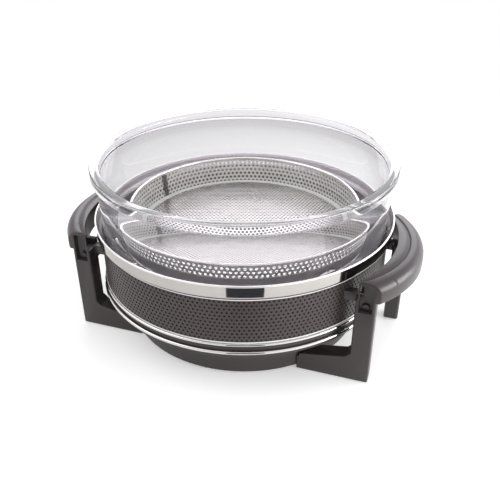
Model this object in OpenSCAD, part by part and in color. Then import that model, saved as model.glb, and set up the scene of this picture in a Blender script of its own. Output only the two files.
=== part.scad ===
// Halogen oven: stand, guard, polished pan, glass bowl, wire rack and perforated basket.
// Millimetres. +Z is up, the floor is z = 0, the bowl's axis is the Z axis, -Y is the front
// and the two handles lie along X.

/* [Glass bowl] */
// Outside diameter of the glass rim
bowl_d = 336; // [300:2:360]
// Height of the glass bowl, foot to rim
bowl_h = 164; // [150:1:180]
// Thickness of the glass
glass_t = 4.5; // [3.5:0.1:6]
// Height of the thick lip round the rim
lip_h = 13; // [9:0.5:18]
// How far the lip stands out from the wall
lip_out = 3.5; // [2:0.1:6]
// Radius of the curve from the bowl's wall into its foot
bowl_corner = 55; // [45:1:62]
// Draft of the bowl's wall, degrees
bowl_draft = 1.8; // [1:0.1:3]

/* [Pan and collar] */
// Height of the steel collar
collar_h = 15.8; // [12:0.2:22]
// Sheet thickness of the pan, collar and guard
sheet_t = 0.8; // [0.6:0.1:1.2]
// How far the pan's floor lies below the base's top
pan_sink = 30.7; // [27:0.1:34]
// Gap between the pan and the glass wall
pan_gap = 1.5; // [1:0.1:3]
// Thickness of the silicone pads under the bowl
pad_t = 4; // [2:0.5:6]
// Radius of the wire rolled into the pan's rim
rim_bead = 1.1; // [0.8:0.1:1.6]

/* [Guard] */
// Height from the base's top to the collar
guard_h = 58.8; // [50:0.2:70]
// Spacing of the guard's holes
guard_pitch = 12; // [10:0.5:16]
// Diameter of the guard's holes
guard_hole = 5; // [3:0.5:7]
// Radius of the bead wire on top of the guard
top_bead = 1.2; // [0.8:0.1:1.6]
// Radius of the bead wire under the guard
foot_bead = 1.5; // [1:0.1:2]
// Radius of the bead wire round the base's shoulder
base_bead = 1.8; // [1:0.1:2.4]

/* [Base] */
// Height of the base's shoulder
base_h = 62.4; // [58:0.2:66]
// Diameter of the base's foot
foot_d = 275; // [240:5:285]
// Height of the straight foot before it flares
foot_h = 18; // [12:1:22]
// Wall of the plastic mouldings
wall = 3; // [2.5:0.1:4]
// Height of the rubber feet under the base
feet_h = 3.5; // [2:0.5:5]
// Slots in the bottom cover
vent_count = 24; // [12:2:30]

/* [Legs] */
// Gap between the guard and a front post
post_gap = 7.5; // [4:0.1:12]
// Width of a front post
post_w = 21; // [18:0.5:24]
// Depth of a front post and its foot beam
post_d = 18; // [16:0.5:20]
// Distance of the posts' front face ahead of the axis
post_front = 102; // [98:1:106]
// Height of the foot beam at the base
beam_low = 21; // [18:1:24]
// Height of the foot beam at the post
beam_high = 30; // [26:1:36]
// Gap between the guard and a rear leg
rear_gap = 5.2; // [4.5:0.1:8]
// Rear leg width
rear_w = 17; // [14:0.5:18]
// Rear leg depth
rear_d = 16; // [14:0.5:18]
// Distance of the rear legs' front face behind the axis
rear_y = 22; // [16:1:30]

/* [Handles] */
// How far the handles' crown lies below the collar's rim
grip_drop = 10; // [6:1:14]
// Height of the handles, skirt edge to crown
grip_h = 24; // [20:1:28]
// Radius of the handles' outer edge
grip_r = 129; // [124:1:134]
// Reach of the handles beyond the guard
grip_reach = 41.2; // [38:0.1:46]
// Radius of the handles' inner edge
grip_inner_r = 150; // [144:1:156]
// Widest gap between the collar and a handle
grip_gap = 8.2; // [7.8:0.1:10]
// Distance of the handles' middle ahead of the axis
grip_y = 17; // [12:1:20]
// Radius of the handles' rear tip
tip_r = 11; // [9:0.5:12]
// Wall of the handle moulding
grip_wall = 3; // [2.5:0.1:4]

/* [Basket] */
// Spacing of the basket's holes
basket_pitch = 12; // [8:0.5:16]
// Diameter of the basket's holes
basket_hole = 5; // [3:0.5:6]
// Diameter over the basket's rolled rim
basket_d = 266; // [240:2:272]
// Height of the basket
basket_h = 34.5; // [28:0.5:44]
// Draft of the basket's wall, degrees
basket_draft = 7.5; // [4:0.5:9]
// Radius of the wire rolled into the basket's rim
basket_bead = 1.7; // [1.2:0.1:2.2]
// Height of the plain hem round the basket's foot
hem_h = 16; // [10:1:20]

/* [Rack] */
// Height of the rack
rack_h = 68.7; // [50:0.1:76]
// Radius of the rack's wire
rack_wire = 2; // [1.5:0.1:2.5]
// Radius of the rack's cross wires
cross_wire = 1.5; // [1:0.1:2]
// Number of cross wires
cross_count = 9; // [5:2:13]
// Height of the lifting loops above the hoop
loop_h = 12; // [8:1:16]
// Width of the lifting loops
loop_w = 24; // [18:1:30]

/* [Hidden] */
$fn = 96;

// Clearances: between pieces that are fixed together, and between pieces that lift apart.
fit = 0.1;
seat = 0.3;

// Names of the pieces, in the order in which they are put together.

// Colours, as seen.
black = [0.24, 0.21, 0.22];
mesh_black = [0.16, 0.14, 0.15];
steel = [0.80, 0.80, 0.80];
chrome = [0.88, 0.87, 0.85];
clear_glass = [0.85, 0.90, 0.92, 0.35];
rubber = [0.10, 0.10, 0.10];
silicone = [0.55, 0.56, 0.58];

// Heights of the pan, the collar and the glass bowl.
pan_floor_z = base_h - pan_sink;
collar_z = base_h + guard_h;
rim_z = collar_z + collar_h;
bowl_z = pan_floor_z + pad_t + seat;
bowl_top = bowl_z + bowl_h;
lip_z = bowl_top - lip_h;
bowl_floor_z = bowl_z + glass_t;

// Radii of the glass bowl and of the pan that it stands in.
lip_r = bowl_d / 2;
glass_r = lip_r - lip_out;
function wall_r(z) = glass_r - (lip_z - z) * tan(bowl_draft);
guard_in = wall_r(collar_z) + pan_gap + sheet_t + seat;
guard_out = guard_in + sheet_t;
collar_step = 5;
collar_out = guard_out + collar_step;

// Heights of the guard, between the base and the collar.
foot_bead_z = base_h + fit + foot_bead;
band_z = foot_bead_z + foot_bead + fit;
top_bead_z = collar_z - fit - top_bead;
band_top = top_bead_z - top_bead - fit;

// Base ring: foot, flare and shoulder.
foot_r = foot_d / 2;
shoulder_r = guard_out - 0.6;
shoulder_z = base_h - 14.4;
flare_r = shoulder_r - 2 - foot_r;
flare_h = shoulder_z - 1.5 - foot_h;
base_bead_z = base_h - 7.8;

// Front posts and their feet.
leg_z = 1.5;
post_y = -post_front + post_d / 2;
post_x = sqrt(pow(guard_out, 2) - pow(post_front - post_d, 2)) + post_gap;
rear_x = guard_out + rear_gap;
crown_z = rim_z - grip_drop;
skirt_z = crown_z - grip_h;
beam_x = sqrt(pow(foot_r, 2) - pow(post_front, 2)) + 1.8;
screw_angle = 40;
leg_screw_z = 12;
recess_w = 14;
recess_d = 7;
recess_x = post_x + 3.5;
recess_z = skirt_z - 14;
tang_t = 6;
tang_w = 15;
tang_z = skirt_z - 18;
tang_screw_x = recess_x + recess_w / 2;
tang_screw_z = tang_z + 8.5;

// Lugs that hold the guard to the legs.
lug_h = 10;
lug_w = 9;
front_lug = [post_x, -post_front + post_d - lug_w / 2, skirt_z - 2];
rear_lug = [rear_x, rear_y + rear_d - lug_w / 2, skirt_z - 1 - lug_h / 2];
lug_screw_sink = 6;
lug_thread = 3.5;
rivet_r = 1.3;
rivet_gap = 6;
rivet_depth = 2.5;

// Screws.
screw_r = 2;
head_r = 3.5;
head_h = 2.6;
thread_fit = 0.1;
thread_depth = 12;
cover_screw = 10;
leg_screw = 14;

// Long screws that run up through the rear legs into the handles.
tie_z = 14;
tie_y = rear_y + 5;
tie_length = skirt_z - tie_z + thread_depth;

// Handle arcs in plan: centres of the outer and inner edges, and of the round rear tip.
grip_cx = guard_out + grip_reach - grip_r;
inner_cx = collar_out + grip_gap - grip_inner_r;
tip_x = (pow(grip_inner_r + tip_r, 2) - pow(grip_r - tip_r, 2) + pow(grip_cx, 2) - pow(inner_cx, 2))
    / (2 * (grip_cx - inner_cx));
tip_rise = sqrt(pow(grip_r - tip_r, 2) - pow(tip_x - grip_cx, 2));
grip_start = -post_front + post_d;
grip_end_wall = 4;
far = 400;

// Basket, from its foot up.
rack_z = bowl_floor_z + seat;
rack_top = rack_z + rack_h;
basket_z = rack_top + seat;
basket_top = basket_z + basket_h;
basket_sheet = 0.7;
rim_r = basket_d / 2 - basket_bead;
rim_wire_z = basket_top - basket_bead;
net_top = rim_wire_z - basket_bead - fit;
function net_r(z) = rim_r - (net_top - z) * tan(basket_draft);
basket_floor_z = basket_z + 2.5;
floor_net_r = net_r(basket_floor_z) - 6;
seam_angle = 161;
seam_w = 8;

// Rack.
hoop_r = net_r(basket_z) + basket_sheet / 2;
hoop_z = rack_top - rack_wire;
grid_z = hoop_z - rack_wire - cross_wire - fit;
leg_count = 4;
leg_spread = 15;
leg_foot_r = 98;
leg_start = 41;
loop_angles = [-34, 86, 206];
loop_lean = 30;

// Vectors and outlines.
function unit(v) = v / norm(v);
// The direction square to a path at point i, on the right of its travel.
function square_to(path, i) =
    let (
        a = path[max(i - 1, 0)],
        b = path[min(i + 1, len(path) - 1)],
        d = unit(b - a)
    )
    [d[1], -d[0]];
function reversed(path) = [for (i = [len(path) - 1:-1:0]) path[i]];
function shifted(path, t) = [for (i = [0:len(path) - 1]) path[i] + square_to(path, i) * t];
function arc(centre, r, from, to, steps) =
    [for (i = [0:steps]) let (a = from + (to - from) * i / steps) centre + r * [cos(a), sin(a)]];

// The curve of a dish's outside: flat foot, corner and drafted wall, up to height top.
function dish(foot_z, top_r, top, corner) =
    let (
        foot = top_r - (top - foot_z) * tan(bowl_draft),
        cx = foot + corner * tan(bowl_draft) - corner / cos(bowl_draft)
    )
    concat([[0, foot_z]], arc([cx, foot_z + corner], corner, -90, -bowl_draft, 10), [[top_r, top]]);

module sheet(path, t) polygon(concat(path, reversed(shifted(path, t))));

module ring_of(r, wire) rotate_extrude() translate([r, 0]) circle(r = wire, $fn = 24);

module rounded_rect(size, r) {
    translate([r, 0]) square([size[0] - 2 * r, size[1]]);
    translate([0, r]) square([size[0], size[1] - 2 * r]);
    for (x = [r, size[0] - r], y = [r, size[1] - r]) translate([x, y]) circle(r = r, $fn = 32);
}

// A straight wire between two points, with a round knuckle at each end.
knuckle = 1.04;
module wire(a, b, r) {
    v = b - a;
    translate(a)
        rotate([0, acos(v[2] / norm(v)), atan2(v[1], v[0])])
            cylinder(r = r, h = norm(v), $fn = 24);
    for (p = [a, b]) translate(p) sphere(r = r * knuckle, $fn = 24);
}

// A bent wire through a list of points.
module bent_wire(points, r) for (i = [0:len(points) - 2]) wire(points[i], points[i + 1], r);

// A screw that points along +Z, with its head's seat at the origin.
module screw(length) {
    translate([0, 0, -head_h]) cylinder(r = head_r, h = head_h, $fn = 32);
    cylinder(r = screw_r, h = length, $fn = 32);
}

// The room for a screw: a bore for its shank and a counterbore of a given depth for its head.
module screw_room(length, counterbore) {
    cylinder(r = screw_r + thread_fit, h = length + 1, $fn = 32);
    translate([0, 0, -counterbore]) cylinder(r = head_r + 0.5, h = counterbore, $fn = 32);
}

// Places of the screws and rivets, each with the screw's axis along +Z.
module at_leg_screw(side) {
    mirror([side < 0 ? 1 : 0, 0, 0])
        rotate([0, 0, -screw_angle])
            translate([foot_r - wall, 0, leg_screw_z])
                rotate([0, 90, 0]) children();
}

module at_tang_screw(side) {
    mirror([side < 0 ? 1 : 0, 0, 0])
        translate([tang_screw_x, -post_front + recess_d, tang_screw_z])
            rotate([-90, 0, 0]) children();
}

module at_rear_screw(side) {
    mirror([side < 0 ? 1 : 0, 0, 0])
        translate([rear_x + rear_w / 2, tie_y, tie_z]) children();
}

// The screw that holds a lug, from a seat that lies a given way outside the lug's end.
module at_lug_screw(side, lug, seat_x) {
    mirror([side < 0 ? 1 : 0, 0, 0])
        translate(lug + [seat_x, 0, 0]) rotate([0, -90, 0]) children();
}

module at_front_lug_screw(side) at_lug_screw(side, front_lug, post_w - lug_screw_sink) children();

module at_rear_lug_screw(side) at_lug_screw(side, rear_lug, rear_w - lug_screw_sink) children();

module at_rivet(side, lug) {
    mirror([side < 0 ? 1 : 0, 0, 0])
        for (dz = [-rivet_gap / 2, rivet_gap / 2])
            rotate([0, 0, asin(lug[1] / guard_out)])
                translate([guard_in, 0, lug[2] + dz])
                    rotate([0, 90, 0]) children();
}

// Base ring

module base_profile() {
    flare = [for (i = [0:8]) let (t = 90 * i / 8)
        [foot_r + flare_r * (1 - cos(t)), foot_h + flare_h * sin(t)]];
    outside = concat(
        [[foot_r - 1.5, feet_h], [foot_r, feet_h + 1.5]],
        flare,
        [[shoulder_r, shoulder_z], [shoulder_r, base_h]]
    );
    inside = shifted(outside, -wall);
    polygon(concat(
        outside,
        [[shoulder_r - wall, base_h]],
        [for (i = [len(inside) - 2:-1:1]) [min(inside[i][0], shoulder_r - wall), inside[i][1]]],
        [[foot_r - wall, feet_h]]
    ));
}

cover_z = feet_h;
cover_t = 2.5;
cover_screw_r = foot_r - wall - 4;
boss_r = 4.5;
boss_h = 14;

module cover_screw_places() for (i = [0:3]) rotate([0, 0, 90 * i]) translate([cover_screw_r, 0, 0]) children();

module base_ring() color(black) difference() {
    union() {
        rotate_extrude() base_profile();
        cover_screw_places() translate([0, 0, cover_z + cover_t + fit]) cylinder(r = boss_r, h = boss_h);
    }
    cover_screw_places() translate([0, 0, cover_z]) cylinder(r = screw_r + thread_fit, h = cover_screw + 1, $fn = 32);
    for (side = [-1, 1]) at_leg_screw(side) screw_room(wall + 3, 0.1);
}

module base_cover() color(black) difference() {
    translate([0, 0, cover_z]) cylinder(r = foot_r - wall - fit, h = cover_t);
    for (i = [0:vent_count - 1]) rotate([0, 0, 360 * (i + 0.5) / vent_count])
        translate([64, 0, cover_z - 1]) linear_extrude(cover_t + 2) {
            translate([0, -2]) square([30, 4]);
            for (x = [0, 30]) translate([x, 0]) circle(r = 2, $fn = 24);
        }
    cover_screw_places() translate([0, 0, cover_z - 1]) cylinder(r = screw_r + thread_fit, h = cover_t + 2, $fn = 32);
}

module cover_screws() color(chrome) cover_screw_places() translate([0, 0, cover_z]) screw(cover_screw);

module base_feet() color(rubber)
    for (i = [0:3]) rotate([0, 0, 45 + 90 * i]) translate([foot_r - wall - 18, 0, 0]) {
        cylinder(r = 9, h = feet_h);
    }

// Legs

foot_pad_r = 5.5;
foot_pad_h = 4;
front_pads = [[post_x + post_w / 2, post_y], [beam_x + 18, post_y]];
rear_pad = [rear_x + rear_w / 2, rear_y + rear_d / 2];

module foot_pocket(at) translate([at[0], at[1], 0]) cylinder(r = foot_pad_r + fit, h = foot_pad_h + fit, $fn = 48);

// A handle's crescent in plan, drawn in by w, from y = from to its round rear tip.
module crescent(w, from) {
    out = unit([tip_x - grip_cx, tip_rise]) * grip_r + [grip_cx, -grip_y];
    in = unit([tip_x - inner_cx, tip_rise]) * grip_inner_r + [inner_cx, -grip_y];
    slope = (out[1] - in[1]) / (out[0] - in[0]);
    translate([tip_x, tip_rise - grip_y]) circle(r = tip_r - w);
    difference() {
        intersection() {
            translate([grip_cx, -grip_y]) circle(r = grip_r - w, $fn = 180);
            polygon([[0, from], [far, from], [far, out[1] + (far - out[0]) * slope], [0, in[1] - in[0] * slope]]);
        }
        translate([inner_cx, -grip_y]) circle(r = grip_inner_r + w, $fn = 180);
    }
}

// A handle's section, swept round the centre of its outer edge: skirt, round shoulder,
// a shallow valley and the flat strip along the inner edge.
module grip_section() polygon(concat(
    [[grip_r - 60, skirt_z], [grip_r - 1, skirt_z], [grip_r, skirt_z + 1.5]],
    arc([grip_r - 11, crown_z - 13], 11, 0, 82, 7),
    [[grip_r - 14, crown_z - 1.6], [grip_r - 15.2, crown_z - 3], [grip_r - 17, crown_z - 1.4],
     [grip_r - 22, crown_z - 0.5], [grip_r - 30, crown_z], [grip_r - 60, crown_z]]
));

module grip_hollow() polygon(concat(
    [[grip_r - 60, skirt_z - 1], [grip_r - grip_wall, skirt_z - 1]],
    arc([grip_r - 11, crown_z - 13], 11 - grip_wall, 0, 80, 5),
    [[grip_r - 60, crown_z - 3 - grip_wall]]
));

module grip_solid(from) intersection() {
    translate([grip_cx, -grip_y, 0]) rotate_extrude($fn = 180) grip_section();
    translate([0, 0, skirt_z - 1]) linear_extrude(crown_z) crescent(0, from);
}

module handle() difference() {
    union() {
        grip_solid(grip_start + fit);
        translate([tang_screw_x - tang_w / 2, grip_start + fit, tang_z]) cube([tang_w, tang_t, skirt_z - tang_z + 6]);
    }
    difference() {
        intersection() {
            translate([grip_cx, -grip_y, 0]) rotate_extrude($fn = 180) grip_hollow();
            translate([0, 0, skirt_z - 2]) linear_extrude(crown_z) crescent(grip_wall, grip_start + fit + grip_end_wall);
        }
        translate([rear_x - 2, rear_y, skirt_z - 3]) cube([rear_w + 2, rear_d, crown_z - skirt_z]);
        translate([tang_screw_x - tang_w / 2, grip_start, tang_z]) cube([tang_w, tang_t, skirt_z - tang_z + 8]);
    }
    at_tang_screw(1) screw_room(post_d - recess_d + tang_t, 0.1);
    at_rear_screw(1) screw_room(tie_length, 0.1);
}

module left_handle() color(black) mirror([1, 0, 0]) handle();
module right_handle() color(black) handle();

// A front leg: post, head that carries the handle's section on, and foot beam to the base.
module front_leg() difference() {
    union() {
        translate([post_x, -post_front, leg_z]) linear_extrude(skirt_z - leg_z) rounded_rect([post_w, post_d], 2);
        difference() {
            grip_solid(-post_front);
            translate([0, grip_start, 0]) cube([far, far, far]);
        }
        translate([0, grip_start, 0]) rotate([90, 0, 0]) linear_extrude(post_d)
            polygon([[beam_x, leg_z], [post_x + 3, leg_z], [post_x + 3, beam_high + 5],
                [post_x, beam_high + 5], [post_x - 5, beam_high], [beam_x, beam_low]]);
    }
    cylinder(r = foot_r + fit, h = skirt_z - 30);
    translate([0, 0, foot_h - 0.2]) cylinder(r = foot_r + 3, h = 20);
    translate([recess_x, -post_front - 1, recess_z]) cube([recess_w, recess_d + 1, crown_z - 3 - grip_wall - recess_z]);
    for (p = front_pads) foot_pocket(p);
    at_leg_screw(1) screw_room(leg_screw + 2, 0.1);
    at_tang_screw(1) screw_room(post_d, 0.1);
    at_front_lug_screw(1) screw_room(post_w, 8);
}

module front_left_leg() color(black) mirror([1, 0, 0]) front_leg();
module front_right_leg() color(black) front_leg();

module rear_leg() difference() {
    translate([rear_x, rear_y, leg_z]) linear_extrude(skirt_z - leg_z - fit) rounded_rect([rear_w, rear_d], 3);
    foot_pocket(rear_pad);
    at_rear_screw(1) screw_room(tie_length, tie_z);
    at_rear_lug_screw(1) screw_room(rear_w, 8);
}

module rear_left_leg() color(black) mirror([1, 0, 0]) rear_leg();
module rear_right_leg() color(black) rear_leg();

module leg_feet() color(rubber) for (side = [0, 1]) mirror([side, 0, 0])
    for (p = concat(front_pads, [rear_pad])) translate([p[0], p[1], 0]) cylinder(r = foot_pad_r, h = foot_pad_h, $fn = 48);

module leg_screws() color(chrome) for (side = [-1, 1]) at_leg_screw(side) screw(leg_screw);
module handle_screws() color(chrome) for (side = [-1, 1]) {
    at_tang_screw(side) screw(post_d - recess_d + tang_t);
    at_rear_screw(side) screw(tie_length);
}

// Guard

// Punched holes through a round wall of radius r, in staggered rows between two heights.
// A lug keeps the metal round it whole.
module punched_wall(r, z0, z1, pitch, hole, lugs = []) {
    count = floor(2 * PI * r / pitch);
    row_h = pitch * sqrt(3) / 2;
    rows = floor((z1 - z0 - 2 * hole) / row_h) + 1;
    first = (z0 + z1 - (rows - 1) * row_h) / 2;
    for (row = [0:rows - 1], i = [0:count - 1]) {
        a = (i + (row % 2) / 2) * 360 / count;
        z = first + row * row_h;
        near = [for (lug = lugs) if (abs(r * sin(a) - lug[1]) < lug_w && abs(z - lug[2]) < lug_h) lug];
        if (len(near) == 0) rotate([0, 0, a]) translate([r - hole, 0, z])
            rotate([0, 90, 0]) cylinder(d = hole, h = 2 * hole, $fn = 16);
    }
}

module guard_band() color(mesh_black) difference() {
    translate([0, 0, band_z]) difference() {
        cylinder(r = guard_out, h = band_top - band_z, $fn = 180);
        translate([0, 0, -1]) cylinder(r = guard_in, h = band_top - band_z + 2, $fn = 180);
    }
    for (side = [-1, 1], lug = [front_lug, rear_lug])
        at_rivet(side, lug) cylinder(r = rivet_r + fit, h = 6, center = true, $fn = 24);
    punched_wall(guard_out, band_z, band_top, guard_pitch, guard_hole, [front_lug, rear_lug]);
}

module guard_top_bead() color(chrome) translate([0, 0, top_bead_z]) ring_of(guard_in + top_bead, top_bead);
module guard_foot_bead() color(chrome) translate([0, 0, foot_bead_z]) ring_of(guard_in + foot_bead, foot_bead);
module base_bead() color(chrome) translate([0, 0, base_bead_z]) ring_of(shoulder_r + base_bead + fit, base_bead);

// A lug between the guard and a leg's inner face.
module lug(at) difference() {
    translate(at - [30, lug_w / 2, lug_h / 2]) cube([30 - fit, lug_w, lug_h]);
    cylinder(r = guard_out + fit, h = far, $fn = 180);
    at_rivet(1, at) cylinder(r = rivet_r + fit, h = sheet_t + rivet_depth + 0.5, $fn = 24);
    at_lug_screw(1, at, 0) cylinder(r = screw_r + thread_fit, h = 2 * lug_thread + 1, center = true, $fn = 32);
}

module front_left_lug() color(black) mirror([1, 0, 0]) lug(front_lug);
module front_right_lug() color(black) lug(front_lug);
module rear_left_lug() color(black) mirror([1, 0, 0]) lug(rear_lug);
module rear_right_lug() color(black) lug(rear_lug);

module lug_screws() color(chrome) for (side = [-1, 1]) {
    at_front_lug_screw(side) screw(post_w - lug_screw_sink + lug_thread);
    at_rear_lug_screw(side) screw(rear_w - lug_screw_sink + lug_thread);
}

module guard_rivets() color(chrome) for (side = [-1, 1], lug = [front_lug, rear_lug])
    at_rivet(side, lug) cylinder(r = rivet_r, h = sheet_t + rivet_depth, $fn = 24);

// Collar, pan and pads

module steel_collar() color(steel) rotate_extrude($fn = 180)
    sheet(concat(
        [[guard_in + 0.3, collar_z + sheet_t]],
        arc([collar_out - sheet_t - 2, collar_z + sheet_t + 2], 2, -90, 0, 5),
        [[collar_out - sheet_t, rim_z - 2 * rim_bead - fit]]
    ), sheet_t);

module pan() color(steel) {
    path = concat(
        dish(pan_floor_z, wall_r(collar_z - 4) + pan_gap, collar_z - 4, bowl_corner - 3),
        [[wall_r(collar_z) + pan_gap + 0.1, collar_z + 0.5], [wall_r(collar_z) + pan_gap + 1.5, collar_z + 3.5],
         [collar_out - 3.4, collar_z + 7], [collar_out - sheet_t - rim_bead - 0.6, rim_z - 4],
         [collar_out - sheet_t - rim_bead, rim_z - rim_bead]]
    );
    rotate_extrude($fn = 180) sheet(path, sheet_t);
    translate([0, 0, rim_z - rim_bead]) ring_of(collar_out - sheet_t / 2, rim_bead);
}

pad_r = 12;
pad_ring_r = 78;

module pan_pads() color(silicone)
    for (i = [0:3]) rotate([0, 0, 45 + 90 * i])
        translate([pad_ring_r, 0, pan_floor_z]) cylinder(r = pad_r, h = pad_t);

// Glass bowl

module glass_bowl() color(clear_glass) rotate_extrude($fn = 180) {
    outside = dish(bowl_z, glass_r, lip_z, bowl_corner);
    inside = reversed(shifted(outside, -glass_t));
    polygon(concat(
        outside,
        [[glass_r + 1.6, lip_z + 0.4]],
        arc([lip_r - 2, lip_z + 2.6], 2, -70, 0, 3),
        arc([lip_r - 3, bowl_top - 3], 3, 0, 90, 4),
        [[lip_r - 5, bowl_top], [lip_r - 6.4, bowl_top - 1.2], [glass_r - glass_t - 0.1, bowl_top - 9]],
        [for (i = [0:len(inside) - 2]) inside[i]],
        [[0, bowl_floor_z]]
    ));
}

// Wire rack

module rack_hoop() color(chrome) translate([0, 0, hoop_z]) ring_of(hoop_r, rack_wire);

module rack_grid() color(chrome) {
    pitch = 2 * hoop_r / (cross_count + 1);
    for (i = [1:cross_count]) {
        y = -hoop_r + pitch * i;
        half = sqrt(pow(hoop_r - rack_wire / 2, 2) - pow(abs(y) + cross_wire, 2));
        translate([-half, y, grid_z]) rotate([0, 90, 0]) cylinder(r = cross_wire, h = 2 * half, $fn = 24);
    }
}

module rack_legs() color(chrome) for (i = [0:leg_count - 1]) rotate([0, 0, leg_start + 360 * i / leg_count]) {
    top = hoop_z - rack_wire * 0.7;
    bottom = rack_z + rack_wire;
    reach = hoop_r + rack_wire * 1.7 + fit;
    bent_wire([[reach, leg_spread, top], [leg_foot_r, leg_spread - 3, bottom],
        [leg_foot_r, 3 - leg_spread, bottom], [reach, -leg_spread, top]], rack_wire);
}

module rack_loops() color(chrome) for (a = loop_angles) rotate([0, 0, a]) {
    foot = hoop_r + 2 * rack_wire + fit;
    reach = foot + loop_h * tan(loop_lean);
    half = loop_w / 2;
    bent_wire([[foot, -half, hoop_z], [reach, 4 - half, hoop_z + loop_h],
        [reach, half - 4, hoop_z + loop_h], [foot, half, hoop_z]], rack_wire);
}

// Basket

module net(z0, z1, gap, t) rotate_extrude($fn = 180)
    polygon([[net_r(z0) + gap, z0], [net_r(z0) + gap + t, z0], [net_r(z1) + gap + t, z1], [net_r(z1) + gap, z1]]);

module basket_wall() color(steel) difference() {
    net(basket_z, net_top, 0, basket_sheet);
    punched_wall(net_r(net_top), basket_z + hem_h / 2, net_top, basket_pitch, basket_hole);
}

module basket_hem() color(steel) net(basket_z, basket_z + hem_h, basket_sheet + fit, basket_sheet);

module basket_floor() color(steel) translate([0, 0, basket_floor_z]) linear_extrude(basket_sheet) difference() {
    circle(r = net_r(basket_floor_z) - fit, $fn = 180);
    row_h = basket_pitch * sqrt(3) / 2;
    rows = floor((floor_net_r - basket_hole) / row_h);
    for (row = [-rows:rows]) {
        half = sqrt(pow(floor_net_r, 2) - pow(row * row_h, 2)) - basket_hole / 2;
        shift = (abs(row) % 2) / 2;
        reach = floor(half / basket_pitch - shift);
        for (i = [-reach - 2 * shift:reach])
            translate([(i + shift) * basket_pitch, row * row_h]) circle(d = basket_hole, $fn = 16);
    }
}

module basket_rim() color(chrome) translate([0, 0, rim_wire_z]) ring_of(rim_r, basket_bead);

module basket_seam() color(steel) intersection() {
    net(basket_floor_z + basket_sheet + fit, net_top, -basket_sheet - fit, basket_sheet);
    rotate([0, 0, seam_angle]) translate([0, -seam_w / 2, 0]) cube([far, seam_w, far]);
}

base_ring();
base_cover();
base_feet();
cover_screws();
front_left_leg();
front_right_leg();
rear_left_leg();
rear_right_leg();
leg_feet();
leg_screws();
left_handle();
right_handle();
handle_screws();
guard_band();
guard_top_bead();
guard_foot_bead();
base_bead();
front_left_lug();
front_right_lug();
rear_left_lug();
rear_right_lug();
lug_screws();
guard_rivets();
steel_collar();
pan();
pan_pads();
glass_bowl();
rack_hoop();
rack_grid();
rack_legs();
rack_loops();
basket_wall();
basket_hem();
basket_floor();
basket_rim();
basket_seam();
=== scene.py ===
"""Looks of the halogen oven: stand, punched guard, polished pan, glass bowl, wire rack and basket.

Every length is in metres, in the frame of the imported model: +Z is up, the bowl's axis is the
Z axis, -Y is the front and the two handles lie along X.
"""

from __future__ import annotations

import logging
import math
from dataclasses import dataclass, field
from enum import Enum
from typing import Any, Callable, Iterable, Sequence

import bmesh
import bpy
from mathutils import Matrix, Vector

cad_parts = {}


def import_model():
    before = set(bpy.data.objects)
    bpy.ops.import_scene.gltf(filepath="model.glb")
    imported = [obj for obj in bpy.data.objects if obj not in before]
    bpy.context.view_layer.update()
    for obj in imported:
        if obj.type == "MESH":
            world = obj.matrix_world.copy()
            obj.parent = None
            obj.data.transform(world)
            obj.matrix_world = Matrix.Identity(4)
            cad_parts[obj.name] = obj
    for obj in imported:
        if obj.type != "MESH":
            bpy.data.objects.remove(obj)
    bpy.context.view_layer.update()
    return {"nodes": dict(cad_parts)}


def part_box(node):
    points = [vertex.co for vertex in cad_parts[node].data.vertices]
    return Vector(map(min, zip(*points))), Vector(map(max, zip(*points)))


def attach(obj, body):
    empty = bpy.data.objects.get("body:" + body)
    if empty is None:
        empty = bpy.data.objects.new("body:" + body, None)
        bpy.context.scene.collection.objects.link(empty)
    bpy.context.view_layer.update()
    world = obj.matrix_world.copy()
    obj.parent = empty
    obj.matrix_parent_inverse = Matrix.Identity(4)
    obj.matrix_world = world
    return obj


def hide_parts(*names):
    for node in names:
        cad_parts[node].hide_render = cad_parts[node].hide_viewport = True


LOG = logging.getLogger("halogen_oven")
MM = 0.001
LATHE_STEPS = 288
Point2 = tuple[float, float]
Point3 = tuple[float, float, float]
Colour = tuple[float, float, float]
Piece = bpy.types.Object
Socket = bpy.types.NodeSocket


class Body(Enum):
    """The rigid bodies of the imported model."""

    BASE = "base"
    BOWL = "bowl"
    RACK = "rack"
    BASKET = "basket"


class Slot(Enum):
    """The record's material slots."""

    PLASTIC = "black_plastic"
    RUBBER = "rubber_feet"
    SILICONE = "silicone_pads"
    ZINC = "zinc_fasteners"
    GUARD = "black_mesh"
    GLASS = "clear_glass"
    CHROME = "chrome_wire"
    STEEL = "polished_steel"
    BASKET = "basket_steel"


# Node trees


def operator(operation: str, swapped: bool = False) -> Callable[..., "Maths"]:
    """Makes an operator that adds one Math node.

    Args:
        operation: The Math node's operation.
        swapped: Whether the other number comes first.

    Returns:
        The method.
    """

    def work(number: "Maths", *others: Any) -> "Maths":
        """Adds the node and returns its result."""
        values = (*others, number) if swapped else (number, *others)
        return number.book.maths(operation, *values)

    return work


class Maths:
    """A number that runs through a node tree, with Python's operators."""

    def __init__(self, book: "Book", socket: Socket) -> None:
        """Wraps the output socket of a book's tree that holds the number."""
        self.book = book
        self.socket = socket

    __add__ = __radd__ = operator("ADD")
    __sub__ = operator("SUBTRACT")
    __rsub__ = operator("SUBTRACT", swapped=True)
    __mul__ = __rmul__ = operator("MULTIPLY")
    __truediv__ = operator("DIVIDE")
    __mod__ = operator("MODULO")
    __lt__ = operator("LESS_THAN")
    floor = operator("FLOOR")
    cos = operator("COSINE")
    sin = operator("SINE")


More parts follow.
